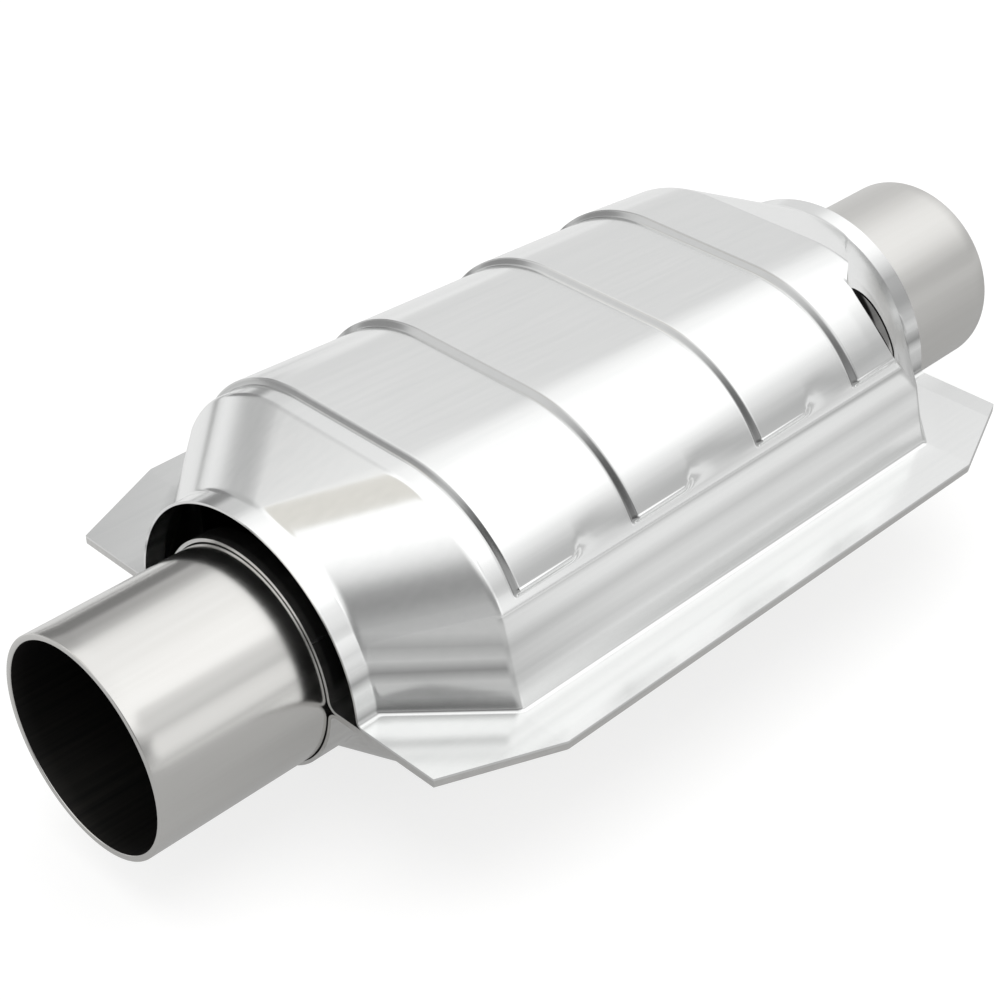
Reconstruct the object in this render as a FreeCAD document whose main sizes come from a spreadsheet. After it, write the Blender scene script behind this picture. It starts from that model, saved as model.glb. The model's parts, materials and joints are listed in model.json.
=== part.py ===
"""Oval catalytic converter: two pressed half shells round two ceramic bricks, a stepped
heat shield over the upper half, and a plain pipe stub at each end.

The row frame has its origin at the centre of the inlet pipe's mouth, +X along the gas flow
and +Z up. Each sub-part is drawn about the middle of the body, on the pipe axis, and its
Placement carries it from there into the row frame.
"""
import FreeCAD, Part
import math
import os
import Sketcher

SIZES = (
    # alias, millimetres or degrees, what it sets
    ("pipe_outer_radius", 31.75, "tube of 2.5 in outside diameter"),
    ("pipe_wall", 1.8, "tube wall"),
    ("pipe_reach", 171.45, "middle of the body to a pipe's mouth"),
    ("pipe_gap", 0.6, "clearance between a pipe and the neck round it"),
    ("pipe_insertion", 9.0, "length of pipe held in a neck"),
    ("weld_leg", 2.2, "leg of the fillet weld at a pipe's inner end"),
    ("shell_gauge", 1.0, "sheet of the two half shells"),
    ("shield_gauge", 0.7, "sheet of the heat shield"),
    ("flange_half_length", 118.85, "middle to the straight end edge of the flange"),
    ("flange_half_width", 84.35, "pipe axis to the flange's long edges"),
    ("corner_half_length", 85.8, "middle to where a long edge meets its corner cut"),
    ("corner_half_width", 70.7, "axis to where an end edge meets its corner cut"),
    ("shell_bend", 2.5, "outside bend from shell wall to flange"),
    ("neck_length", 12.8, "straight neck, from the flange's end inwards"),
    ("neck_split_angle", 8.0, "half angle of the neck that grows into the flat crown"),
    ("brick_flat_half", 20.0, "half width of a brick's flat top"),
    ("brick_radius", 40.0, "half height of a brick and radius of its sides"),
    ("brick_length", 76.2, "3 in brick"),
    ("brick_gap", 12.0, "space between the two bricks"),
    ("mat_thickness", 4.4, "mat under pressure, brick to shell"),
    ("mat_clearance", 0.1, "mat to shell"),
    ("seal_width", 6.0, "knitted wire ring at each end of a mat"),
    ("seal_edge", 1.2, "rounding of a wire ring's edges"),
    ("brick_clearance", 0.8, "outer brick face to the start of the shell's cone"),
    ("locating_groove_depth", 3.0, "groove pressed in between the bricks"),
    ("locating_groove_half", 4.8, "half length of that groove at the shell wall"),
    ("locating_groove_floor", 1.8, "half length of the groove's floor"),
    ("collar_radius", 43.6, "outside of the shield's collar round the neck"),
    ("collar_length", 6.8, "collar, from the flange's end inwards"),
    ("collar_split_angle", 6.0, "half angle of the collar that grows into the flat crown"),
    ("collar_crease_angle", 62.0, "angle on the collar that leads to the crease"),
    ("shield_bend", 1.6, "outside bend from shield skirt to flange"),
    ("shield_half_length", 86.0, "middle to the barrel's end edge"),
    ("shield_height", 52.0, "axis to the flat crown between two steps"),
    ("shield_flat_half", 20.75, "half width of the flat crown"),
    ("shoulder_radius", 45.2, "rounded shoulders beside the flat crown"),
    ("shoulder_angle", 58.0, "turn of a shoulder, from the crown down to the crease"),
    ("crease_drop", 1.1, "height of the ledge between shoulder and skirt"),
    ("skirt_lean_angle", 16.5, "lean of the skirt from upright"),
    ("foot_half_width", 68.4, "axis to where the skirt would meet the flange"),
    ("step_rise", 1.8, "height of each step across the crown"),
    ("step_run", 1.3, "length of a step's sloping face"),
    ("step_one_ratio", -0.928, "first step's foot, as a share of shield_half_length"),
    ("step_two_ratio", -0.422, "second step's foot, as above"),
    ("step_three_ratio", 0.1675, "third step's foot, as above"),
    ("step_four_ratio", 0.67, "fourth step's foot, as above"),
    ("ledge_length", 21.0, "length of the return ledge behind each step"),
)

STEPS = ("step_one_ratio", "step_two_ratio", "step_three_ratio", "step_four_ratio")

doc = FreeCAD.newDocument("catalytic_converter")


def write_sizes():
    """Fill the spreadsheet: a name, its value under an alias, and what it sets."""
    sheet = doc.addObject("Spreadsheet::Sheet", "sizes")
    for row, (alias, value, note) in enumerate(SIZES, start=1):
        sheet.set("A%d" % row, alias)
        sheet.set("B%d" % row, str(value))
        sheet.set("C%d" % row, note)
        sheet.setAlias("B%d" % row, alias)
    doc.recompute()


def new_body(label, turned_about=None):
    """A body in the middle of the converter; turned_about turns it half way round an axis."""
    body = doc.addObject("PartDesign::Body", label)
    body.Label = label
    if turned_about:
        body.Placement = FreeCAD.Placement(FreeCAD.Vector(), turned_about, 180)
    body.setExpression("Placement.Base.x", "sizes.pipe_reach")
    return body


def new_sketch(body, name, plane, offset):
    """A sketch on one of the body's own origin planes, moved off it by a formula."""
    sketch = body.newObject("Sketcher::SketchObject", name)
    planes = {item.Role: item for item in body.Origin.OriginFeatures}
    sketch.AttachmentSupport = (planes[plane], [""])
    sketch.MapMode = "FlatFace"
    sketch.setExpression("AttachmentOffset.Base.z", offset)
    return sketch


def place_point(sketch, edge, end, point):
    """Tie an edge's end to the formulas of its two coordinates."""
    for kind, axis, formula in (("DistanceX", -2, point[0]), ("DistanceY", -1, point[1])):
        if formula == "0":
            sketch.addConstraint(Sketcher.Constraint("PointOnObject", edge, end, axis))
            continue
        value = number(sketch, formula)
        index = sketch.addConstraint(Sketcher.Constraint(kind, -1, 1, edge, end, value))
        sketch.setExpression("Constraints[%d]" % index, formula)


def number(sketch, formula):
    """The present value of a formula of spreadsheet cells."""
    value = sketch.evalExpression(formula)
    return float(getattr(value, "Value", value))


def draw_outline(sketch, outline):
    """Draw a closed outline of (start point, arc), where arc is None for a straight edge
    or (centre point, radius), all as formulas, and tie every corner and radius to them."""
    ends = []
    for place, (start, arc) in enumerate(outline):
        finish = outline[(place + 1) % len(outline)][0]
        first = FreeCAD.Vector(number(sketch, start[0]), number(sketch, start[1]), 0)
        last = FreeCAD.Vector(number(sketch, finish[0]), number(sketch, finish[1]), 0)
        if arc is None:
            edge = sketch.addGeometry(Part.LineSegment(first, last))
            ends.append((edge, 1, 2))
            continue
        centre = FreeCAD.Vector(number(sketch, arc[0][0]), number(sketch, arc[0][1]), 0)
        radius = number(sketch, arc[1])
        angles = [math.atan2(p.y - centre.y, p.x - centre.x) for p in (first, last)]
        turn = (angles[1] - angles[0]) % (2 * math.pi)
        forward = turn < math.pi
        if not forward:
            angles.reverse()
        circle = Part.Circle(centre, FreeCAD.Vector(0, 0, 1), radius)
        edge = sketch.addGeometry(Part.ArcOfCircle(circle, angles[0], angles[1]))
        ends.append((edge, 1, 2) if forward else (edge, 2, 1))
    for place, (edge, first_end, last_end) in enumerate(ends):
        following, following_end, _ = ends[(place + 1) % len(ends)]
        join = Sketcher.Constraint("Coincident", edge, last_end, following, following_end)
        sketch.addConstraint(join)
        start, arc = outline[place]
        place_point(sketch, edge, first_end, start)
        if arc is not None:
            radius = Sketcher.Constraint("Radius", edge, number(sketch, arc[1]))
            index = sketch.addConstraint(radius)
            sketch.setExpression("Constraints[%d]" % index, arc[1])


def on_circle(centre, radius, angle):
    """The point of a circle at an angle from straight up."""
    across = "%s + (%s) * sin(%s)" % (centre[0], radius, angle)
    up = "%s + (%s) * cos(%s)" % (centre[1], radius, angle)
    return across, up


def foot_of_round_wall(centre_across, radius, bend, flange_top):
    """Where a round wall bends out into the flange: the bend's centre, and how far along
    the line from the wall's centre to the bend's centre the wall's face lies."""
    reach = "sqrt((%s + %s)^2 - (%s + %s)^2)" % (radius, bend, flange_top, bend)
    bend_centre = ("%s + %s" % (centre_across, reach), "%s + %s" % (flange_top, bend))

    def wall_point(face_radius):
        share = "(%s) / (%s + %s)" % (face_radius, radius, bend)
        across = "%s + (%s) * (%s)" % (centre_across, reach, share)
        up = "(%s + %s) * (%s)" % (flange_top, bend, share)
        return across, up

    return bend_centre, wall_point


def there_and_back(outer, inner):
    """Join the outer and the inner face of a half section into one closed outline. Each
    face is a list of points from the flange to the crown, with the arcs between them."""
    outline = list(zip(outer[0], outer[1] + [None]))
    inner_points = inner[0][::-1]
    inner_arcs = inner[1][::-1] + [None]
    return outline + list(zip(inner_points, inner_arcs))


def mirrored_press(body, sections, flange, gauge):
    """One pressed sheet: a ruled loft through half sections and half a flat flange,
    both mirrored to the other side of the converter."""
    loft = body.newObject("PartDesign::AdditiveLoft", body.Label + "_loft")
    loft.Profile = sections[0]
    loft.Sections = sections[1:]
    loft.Ruled = True
    pad = body.newObject("PartDesign::Pad", body.Label + "_flange")
    pad.Profile = flange
    pad.setExpression("Length", gauge)
    mirrored = body.newObject("PartDesign::Mirrored", body.Label + "_mirrored")
    mirrored.Originals = [loft, pad]
    planes = {item.Role: item for item in body.Origin.OriginFeatures}
    mirrored.MirrorPlane = (planes["XZ_Plane"], [""])
    body.Tip = mirrored


def flange_outline(opening):
    """Half of the flange: three straight outer edges and corner cuts, and an opening given
    as (station, half width) pairs from the outlet end to the inlet end."""
    rim = (
        ("-sizes.flange_half_length", "sizes.corner_half_width"),
        ("-sizes.corner_half_length", "sizes.flange_half_width"),
        ("sizes.corner_half_length", "sizes.flange_half_width"),
        ("sizes.flange_half_length", "sizes.corner_half_width"),
    )
    return [(point, None) for point in rim + tuple(opening)]


# The two half shells

SHELL_RADIUS = "sizes.brick_radius + sizes.mat_thickness + sizes.mat_clearance + sizes.shell_gauge"
BARREL_HALF = "sizes.brick_gap / 2 + sizes.brick_length + sizes.brick_clearance"
NECK_RADIUS = "sizes.pipe_outer_radius + sizes.pipe_gap + sizes.shell_gauge"
NECK_END = "sizes.flange_half_length - sizes.neck_length"


def shell_section(kind):
    """Half section of a shell at its neck, barrel or locating groove."""
    gauge = "sizes.shell_gauge"
    radius = "(%s)" % {
        "neck": NECK_RADIUS,
        "barrel": SHELL_RADIUS,
        "groove": SHELL_RADIUS + " - sizes.locating_groove_depth",
    }[kind]
    across = "0" if kind == "neck" else "sizes.brick_flat_half"
    centre = (across, "0")
    bend_centre, wall_point = foot_of_round_wall(across, radius, "sizes.shell_bend", gauge)

    def face(face_radius, flange_height, bend_radius):
        angle = "sizes.neck_split_angle" if kind == "neck" else "0"
        split = on_circle(centre, face_radius, angle)
        points = [(bend_centre[0], flange_height), wall_point(face_radius), split,
                  ("0", face_radius)]
        crown = (centre, face_radius) if kind == "neck" else None
        arcs = [(bend_centre, bend_radius), (centre, face_radius), crown]
        return points, arcs

    outer = face(radius, gauge, "sizes.shell_bend")
    inner = face("%s - %s" % (radius, gauge), "0", "sizes.shell_bend + %s" % gauge)
    return there_and_back(outer, inner)


def add_shell(label, turned_about=None):
    """A half shell: neck, cone, barrel with its locating groove, cone and neck."""
    body = new_body(label, turned_about)
    half_stations = (
        ("neck", "sizes.flange_half_length"),
        ("neck", NECK_END),
        ("barrel", BARREL_HALF),
        ("barrel", "sizes.locating_groove_half"),
        ("groove", "sizes.locating_groove_floor"),
    )
    stations = [(kind, "-(%s)" % place) for kind, place in half_stations]
    stations += [(kind, place) for kind, place in half_stations[::-1]]
    sections = []
    opening = []
    for count, (kind, place) in enumerate(stations, start=1):
        sketch = new_sketch(body, "%s_section_%d" % (label, count), "YZ_Plane", place)
        outline = shell_section(kind)
        draw_outline(sketch, outline)
        sections.append(sketch)
        opening.append((place, outline[0][0][0]))
    flange = new_sketch(body, label + "_flange_outline", "XY_Plane", "0 mm")
    draw_outline(flange, flange_outline(opening[::-1]))
    mirrored_press(body, sections, flange, "sizes.shell_gauge")
    return body


# The heat shield

FLANGE_TOP = "(sizes.shell_gauge + sizes.shield_gauge)"


def collar_section():
    """Half section of the shield's collar, which stands clear of the neck all round."""
    gauge = "sizes.shield_gauge"
    radius = "sizes.collar_radius"
    centre = ("0", "0")
    bend = "sizes.shield_bend"
    bend_centre, wall_point = foot_of_round_wall("0", radius, bend, FLANGE_TOP)
    ledge_angle = "(sizes.collar_crease_angle + 2)"

    def face(face_radius, flange_height, bend_radius):
        turns = (ledge_angle, "sizes.collar_crease_angle", "sizes.collar_split_angle")
        points = [(bend_centre[0], flange_height), wall_point(face_radius)]
        points += [on_circle(centre, face_radius, angle) for angle in turns]
        points.append(("0", face_radius))
        arcs = [(bend_centre, bend_radius)] + [(centre, face_radius)] * 4
        return points, arcs

    outer = face(radius, FLANGE_TOP, bend)
    inner = face("%s - %s" % (radius, gauge), "sizes.shell_gauge", bend + " + " + gauge)
    return there_and_back(outer, inner)


def barrel_section(rise):
    """Half section of the shield's barrel, its crown and shoulders lifted by a rise. The
    skirt below the crease keeps its place, so the lift ends in a ledge along the crease."""
    gauge = "sizes.shield_gauge"
    bend = "sizes.shield_bend"
    lean = "sizes.skirt_lean_angle"
    tangent = "(%s * tan((90 - %s) / 2))" % (bend, lean)
    foot = "sizes.foot_half_width"
    bend_centre = ("%s + %s" % (foot, tangent), "%s + %s" % (FLANGE_TOP, bend))
    shoulder_centre = ("sizes.shield_flat_half", "sizes.shield_height - sizes.shoulder_radius")
    crease = on_circle(shoulder_centre, "sizes.shoulder_radius", "sizes.shoulder_angle")
    skirt_top = "(%s - sizes.crease_drop)" % crease[1]

    def face(depth, flange_height):
        skirt = "%s - (%s - %s) * tan(%s)" % (foot, skirt_top, FLANGE_TOP, lean)
        below = ("%s - %s * cos(%s)" % (skirt, depth, lean),
                 "%s - %s * sin(%s)" % (skirt_top, depth, lean))
        wall = ("%s - (%s + %s) * cos(%s)" % (bend_centre[0], bend, depth, lean),
                "%s - (%s + %s) * sin(%s)" % (bend_centre[1], bend, depth, lean))
        radius = "sizes.shoulder_radius + %s - %s" % (rise, depth)
        crown = "sizes.shield_height + %s - %s" % (rise, depth)
        points = [(bend_centre[0], flange_height), wall, below,
                  on_circle(shoulder_centre, radius, "sizes.shoulder_angle"),
                  ("sizes.shield_flat_half", crown), ("0", crown)]
        arcs = [(bend_centre, "%s + %s" % (bend, depth)), None, None,
                (shoulder_centre, radius), None]
        return points, arcs

    return there_and_back(face("0", FLANGE_TOP), face(gauge, "sizes.shell_gauge"))


def add_shield(label):
    """The heat shield: collars and cones at both ends, and a barrel with four steps that
    face the inlet. Each step's panel runs level along its return ledges, then falls back
    to the foot of the next step."""
    body = new_body(label)
    collar_end = "sizes.flange_half_length - sizes.collar_length"
    collar = collar_section()
    plain = barrel_section("0")
    raised = barrel_section("sizes.step_rise")
    stations = [(collar, "-sizes.flange_half_length"), (collar, "-(%s)" % collar_end),
                (plain, "-sizes.shield_half_length")]
    for step in STEPS:
        foot = "sizes.%s * sizes.shield_half_length" % step
        stations += [(plain, foot), (raised, foot + " + sizes.step_run"),
                     (raised, foot + " + sizes.ledge_length")]
    stations += [(plain, "sizes.shield_half_length"), (collar, collar_end),
                 (collar, "sizes.flange_half_length")]
    sections = []
    for count, (outline, place) in enumerate(stations, start=1):
        sketch = new_sketch(body, "%s_section_%d" % (label, count), "YZ_Plane", place)
        draw_outline(sketch, outline)
        sections.append(sketch)
    ends = [stations[place] for place in (-1, -2, -3, 2, 1, 0)]
    opening = [(place, outline[0][0][0]) for outline, place in ends]
    flange = new_sketch(body, label + "_flange_outline", "XY_Plane", "sizes.shell_gauge")
    draw_outline(flange, flange_outline(opening))
    mirrored_press(body, sections, flange, "sizes.shield_gauge")
    return body


# Pipes and their welds

END_FOR_END = FreeCAD.Vector(0, 0, 1)
UPSIDE_DOWN = FreeCAD.Vector(1, 0, 0)
PIPE_INNER_END = "(sizes.flange_half_length - sizes.pipe_insertion)"


def add_circle(sketch, radius):
    """A circle about the sketch's origin."""
    circle = Part.Circle(FreeCAD.Vector(), FreeCAD.Vector(0, 0, 1), number(sketch, radius))
    edge = sketch.addGeometry(circle)
    sketch.addConstraint(Sketcher.Constraint("Coincident", edge, 3, -1, 1))
    index = sketch.addConstraint(Sketcher.Constraint("Radius", edge, number(sketch, radius)))
    sketch.setExpression("Constraints[%d]" % index, radius)


def add_pipe(label, turned_about=None):
    """A plain tube from its mouth to the inner end of the neck."""
    body = new_body(label, turned_about)
    sketch = new_sketch(body, label + "_rings", "YZ_Plane", "-sizes.pipe_reach")
    add_circle(sketch, "sizes.pipe_outer_radius")
    add_circle(sketch, "sizes.pipe_outer_radius - sizes.pipe_wall")
    pad = body.newObject("PartDesign::Pad", label + "_tube")
    pad.Profile = sketch
    pad.setExpression("Length", "sizes.pipe_reach - " + PIPE_INNER_END)
    return body


def add_weld(label, turned_about=None):
    """A fillet weld round the pipe's inner end, against the bore of the necks."""
    body = new_body(label, turned_about)
    sketch = new_sketch(body, label + "_bead", "XZ_Plane", "0 mm")
    bore = "sizes.pipe_outer_radius + sizes.pipe_gap"
    inner_end = "-" + PIPE_INNER_END
    leg = "sizes.weld_leg"
    draw_outline(sketch, [
        ((inner_end, bore), None),
        ((inner_end, "%s - %s" % (bore, leg)), None),
        (("%s + %s" % (inner_end, leg), bore), None),
    ])
    turn = body.newObject("PartDesign::Revolution", label + "_round")
    turn.Profile = sketch
    turn.ReferenceAxis = (sketch, ["H_Axis"])
    turn.Angle = 360
    return body


# What the shells hold

MAT_LENGTH = "sizes.brick_length - 2 * sizes.seal_width"


def draw_oval(sketch, radius):
    """Draw the bricks' oval, with its half circles as two quarter arcs each."""
    flat = "sizes.brick_flat_half"
    right, left = (flat, "0"), ("-" + flat, "0")
    below = "-(%s)" % radius
    far_right, far_left = "%s + %s" % (flat, radius), "-%s - (%s)" % (flat, radius)
    draw_outline(sketch, [
        ((flat, below), (right, radius)),
        ((far_right, "0"), (right, radius)),
        ((flat, radius), None),
        (("-" + flat, radius), (left, radius)),
        ((far_left, "0"), (left, radius)),
        (("-" + flat, below), None),
    ])


def add_oval_piece(label, start, length, outer, inner=None, edge=None, turned_about=None):
    """A brick, or with an inner radius a ring round one, from start inwards."""
    body = new_body(label, turned_about)
    sketch = new_sketch(body, label + "_oval", "YZ_Plane", "-(%s)" % start)
    draw_oval(sketch, outer)
    if inner:
        draw_oval(sketch, inner)
    pad = body.newObject("PartDesign::Pad", label + "_block")
    pad.Profile = sketch
    pad.setExpression("Length", length)
    if edge:
        doc.recompute()
        rims = ["Edge%d" % (place + 1) for place, rim in enumerate(pad.Shape.Edges)
                if abs(rim.BoundBox.XMin - rim.BoundBox.XMax) < 0.01]
        rounded = body.newObject("PartDesign::Fillet", label + "_rounded")
        rounded.Base = (pad, rims)
        rounded.setExpression("Radius", edge)
    return body


def add_contents():
    """The bricks, their mats and the wire rings at both ends of each mat."""
    brick = "sizes.brick_radius"
    mat = "sizes.brick_radius + sizes.mat_thickness"
    outer_face = "sizes.brick_gap / 2 + sizes.brick_length"
    seal = "sizes.seal_width"
    mat_face = "%s - %s" % (outer_face, seal)
    inner_seal_face = "sizes.brick_gap / 2 + " + seal
    bodies = []
    for end, turned in (("front", None), ("rear", END_FOR_END)):
        pieces = (
            ("monolith", outer_face, "sizes.brick_length", brick, None, None),
            ("mat", mat_face, MAT_LENGTH, mat, brick, None),
            ("outer_seal", outer_face, seal, mat, brick, "sizes.seal_edge"),
            ("inner_seal", inner_seal_face, seal, mat, brick, "sizes.seal_edge"),
        )
        for name, start, length, outer, inner, edge in pieces:
            label = "%s_%s" % (end, name)
            bodies.append(add_oval_piece(label, start, length, outer, inner, edge, turned))
    return bodies


def build():
    """Make the whole converter and return its bodies."""
    write_sizes()
    bodies = [
        add_pipe("inlet_pipe"),
        add_pipe("outlet_pipe", END_FOR_END),
        add_weld("inlet_weld_bead"),
        add_weld("outlet_weld_bead", END_FOR_END),
        add_shell("upper_shell"),
        add_shell("lower_shell", UPSIDE_DOWN),
        add_shield("upper_heat_shield"),
    ]
    bodies += add_contents()
    doc.recompute()
    return bodies


def check(bodies):
    """Stop if any object failed or any sub-part isn't one sound solid."""
    for item in doc.Objects:
        if "Invalid" in item.State or "Error" in item.State:
            raise RuntimeError("%s failed: %s" % (item.Label, item.State))
    for body in bodies:
        shape = body.Shape
        if shape.isNull() or not shape.isValid() or len(shape.Solids) != 1:
            raise RuntimeError("%s is not one valid solid" % body.Label)


def export(bodies):
    """Write each sub-part to its own STEP file."""
    os.makedirs("parts", exist_ok=True)
    for body in bodies:
        body.Shape.exportStep(os.path.join("parts", body.Label + ".step"))
        box = body.Shape.BoundBox
        print("%-20s %9.0f mm3  x %.1f..%.1f  y %.1f..%.1f  z %.1f..%.1f" % (
            body.Label, body.Shape.Volume, box.XMin, box.XMax, box.YMin, box.YMax,
            box.ZMin, box.ZMax))


converter = build()
check(converter)
export(converter)
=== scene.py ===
"""Oval catalytic converter: bright pressed shield and shells, satin pipe stubs, and the bricks,
mats and wire rings inside. Lengths in the sections are millimetres; meshes, lights and the
camera are in metres."""
import json
import math

import bpy
import numpy as np
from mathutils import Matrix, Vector

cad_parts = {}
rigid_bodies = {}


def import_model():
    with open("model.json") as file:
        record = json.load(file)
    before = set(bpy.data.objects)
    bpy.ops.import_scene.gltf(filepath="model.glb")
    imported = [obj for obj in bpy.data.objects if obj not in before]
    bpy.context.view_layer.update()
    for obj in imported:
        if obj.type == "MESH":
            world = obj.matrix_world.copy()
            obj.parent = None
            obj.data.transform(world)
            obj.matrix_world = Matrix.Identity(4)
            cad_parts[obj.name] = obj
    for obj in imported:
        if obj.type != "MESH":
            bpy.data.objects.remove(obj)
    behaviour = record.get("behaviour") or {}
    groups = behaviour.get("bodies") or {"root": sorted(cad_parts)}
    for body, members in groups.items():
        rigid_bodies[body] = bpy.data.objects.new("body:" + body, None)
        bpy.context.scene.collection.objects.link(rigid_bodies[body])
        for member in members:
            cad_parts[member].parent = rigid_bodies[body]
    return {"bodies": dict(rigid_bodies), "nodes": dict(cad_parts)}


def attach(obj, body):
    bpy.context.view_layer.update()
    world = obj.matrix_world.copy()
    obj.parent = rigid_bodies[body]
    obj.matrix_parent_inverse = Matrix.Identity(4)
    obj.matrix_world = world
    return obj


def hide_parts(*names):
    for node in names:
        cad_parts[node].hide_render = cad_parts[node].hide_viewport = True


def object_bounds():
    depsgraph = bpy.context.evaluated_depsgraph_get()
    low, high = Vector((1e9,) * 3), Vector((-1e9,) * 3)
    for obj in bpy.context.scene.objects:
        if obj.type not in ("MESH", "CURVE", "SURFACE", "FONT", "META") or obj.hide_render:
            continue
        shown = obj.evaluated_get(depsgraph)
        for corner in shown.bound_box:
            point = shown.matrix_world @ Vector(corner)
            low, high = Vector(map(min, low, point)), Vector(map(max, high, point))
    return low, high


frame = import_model()
cad_box = [list(corner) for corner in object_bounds()]
steel_body = next(iter(frame["bodies"]))


# ---------------------------------------------------------------------------------------------
# Studio: a pale table and a light tent round it. The tent is bright overhead, softer towards its foot, with
# patches of shade placed for the polished sheet to mirror.

def node(tree, kind, **settings):
    """Add a shader node and set its properties, and its sockets where a key starts with s_."""
    made = tree.nodes.new(kind)
    for key, value in settings.items():
        if key.startswith("s_"):
            made.inputs[key[2:].replace("_", " ")].default_value = value
        else:
            setattr(made, key, value)
    return made


def maths(tree, operation, first, second=None, third=None, clamp=False):
    """A Math node on sockets or plain numbers; returns its result."""
    made = node(tree, "ShaderNodeMath", operation=operation, use_clamp=clamp)
    for socket, value in zip(made.inputs, (first, second, third)):
        if value is None:
            continue
        if isinstance(value, (int, float)):
            socket.default_value = value
        else:
            tree.links.new(value, socket)
    return made.outputs[0]


def rise(tree, length, start, full):
    """How far a length in metres has come from start to full, both in millimetres: 0 up to the
    first, 1 from the second on, a straight line between."""
    span = full - start
    return maths(tree, "MULTIPLY_ADD", length, 1000 / span, -start / span, clamp=True)


def ramp(tree, factor, stops, interpolation="EASE"):
    """A colour ramp of (place, grey or colour) stops on a factor; returns its colour."""
    made = node(tree, "ShaderNodeValToRGB")
    made.color_ramp.interpolation = interpolation
    points = made.color_ramp.elements
    while len(points) < len(stops):
        points.new(0.5)
    for point, (place, shade) in zip(points, sorted(stops, key=lambda stop: stop[0])):
        point.position = place
        colour = (shade,) * 3 if isinstance(shade, (int, float)) else shade
        point.color = (*colour, 1)
    tree.links.new(factor, made.inputs[0])
    return made.outputs["Color"]


def blend(tree, factor, first, second, kind="MIX"):
    """Mix two colours, each a socket or a plain colour, by a factor; returns the colour."""
    made = node(tree, "ShaderNodeMix", data_type="RGBA", blend_type=kind)
    for socket, value in ((made.inputs[0], factor), (made.inputs[6], first), (made.inputs[7], second)):
        if isinstance(value, (int, float, tuple)):
            socket.default_value = value if isinstance(value, (int, float)) else (*value, 1)
        else:
            tree.links.new(value, socket)
    return made.outputs[2]


def shader_mix(tree, factor, first, second):
    """Mix two shader nodes by a factor; returns the node that does it."""
    made = node(tree, "ShaderNodeMixShader")
    for socket, value in zip(made.inputs, (factor, first.outputs[0], second.outputs[0])):
        tree.links.new(value, socket)
    return made


def parts_of(tree, vector):
    """The X, Y and Z sockets of a vector."""
    made = node(tree, "ShaderNodeSeparateXYZ")
    tree.links.new(vector, made.inputs[0])
    return made.outputs


world = bpy.data.worlds.new("light_tent")
bpy.context.scene.world = world
world.use_nodes = True
tent = world.node_tree
tent.nodes.clear()
heading = node(tent, "ShaderNodeTexCoord").outputs["Generated"]
height = maths(tent, "MULTIPLY_ADD", parts_of(tent, heading)["Z"], 0.5, 0.5)


def towards(direction, start, full):
    """How nearly a heading points in a direction: 0 up to the first cosine, 1 from the second."""
    nearness = node(tent, "ShaderNodeVectorMath", operation="DOT_PRODUCT")
    tent.links.new(heading, nearness.inputs[0])
    nearness.inputs[1].default_value = Vector(direction).normalized()
    share = node(tent, "ShaderNodeMapRange", interpolation_type="SMOOTHSTEP")
    share.inputs["From Min"].default_value = start
    share.inputs["From Max"].default_value = full
    tent.links.new(nearness.outputs["Value"], share.inputs["Value"])
    return share.outputs["Result"]


# Shades of the three walls from straight down, at 0, over the horizon, at 0.5, to overhead.
back_wall = ramp(tent, height, [(0.0, 0.6), (0.50, 0.68), (0.60, 0.66), (0.70, 0.66), (0.75, 0.68),
                                (0.79, 0.72), (0.83, 0.78), (0.86, 0.80), (0.885, 0.86), (0.93, 0.9)],
                 "LINEAR")
right_wall = ramp(tent, height, [(0.0, 0.6), (0.50, 0.66), (0.56, 0.60), (0.59, 0.40), (0.61, 0.38),
                                 (0.636, 0.33), (0.656, 0.39), (0.676, 0.44), (0.70, 0.51),
                                 (0.727, 0.64), (0.745, 0.70), (0.768, 0.84), (0.80, 0.96),
                                 (0.83, 1.0)], "LINEAR")
front_wall = ramp(tent, height, [(0.0, 0.6), (0.47, 0.62), (0.53, 0.36), (0.57, 0.38), (0.60, 0.34),
                                 (0.65, 0.24), (0.70, 0.22), (0.75, 0.28), (0.82, 0.66),
                                 (0.88, 0.85), (0.93, 1.0)], "LINEAR")

# The side walls and the patches, laid over the back wall in turn: the way each one lies in,
# the cosines that its edge fades between, and its shade.
tent_wall = back_wall
for direction, start, full, shade in (
        ((0.2, 0.85, 0.5), 0.90, 0.985, 0.37),
        ((0.72, 0.62, 0.31), 0.955, 0.972, 0.56),
        ((1, -1, 0), 0.10, 0.60, right_wall),
        ((-1, -1, 0), 0.35, 0.70, front_wall),
        ((-1, -0.15, 0.10), 0.90, 0.975, 0.10),
        ((-0.40, 0.90, 0.15), 0.93, 0.975, 0.33),
        ((-0.80, 0.60, -0.05), 0.94, 0.98, 0.35),
        ((-0.71, 0.57, 0.44), 0.96, 0.985, 0.80),
        ((0.33, 0.93, 0.14), 0.965, 0.98, 0.19),
        ((0.40, -0.72, 0.57), 0.975, 0.995, 0.66),
        ((0.44, -0.88, 0.20), 0.978, 0.992, 0.80),
        ((-0.15, 0.40, 0.90), 0.953, 0.963, (0.59, 0.575, 0.54))):
    shade = (shade,) * 3 if isinstance(shade, float) else shade
    tent_wall = blend(tent, towards(direction, start, full), tent_wall, shade)

rays = node(tent, "ShaderNodeLightPath").outputs
seen = node(tent, "ShaderNodeBackground", s_Color=(1, 1, 1, 1), s_Strength=1.0)
lighting = node(tent, "ShaderNodeBackground", s_Color=(1, 1, 1, 1), s_Strength=0.8)
mirrored = node(tent, "ShaderNodeBackground", s_Strength=1.3)
tent.links.new(tent_wall, mirrored.inputs["Color"])
cloth = shader_mix(tent, rays["Is Glossy Ray"], lighting, mirrored)
backdrop = shader_mix(tent, rays["Is Camera Ray"], cloth, seen)
tent.links.new(backdrop.outputs[0], node(tent, "ShaderNodeOutputWorld").inputs[0])

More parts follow.
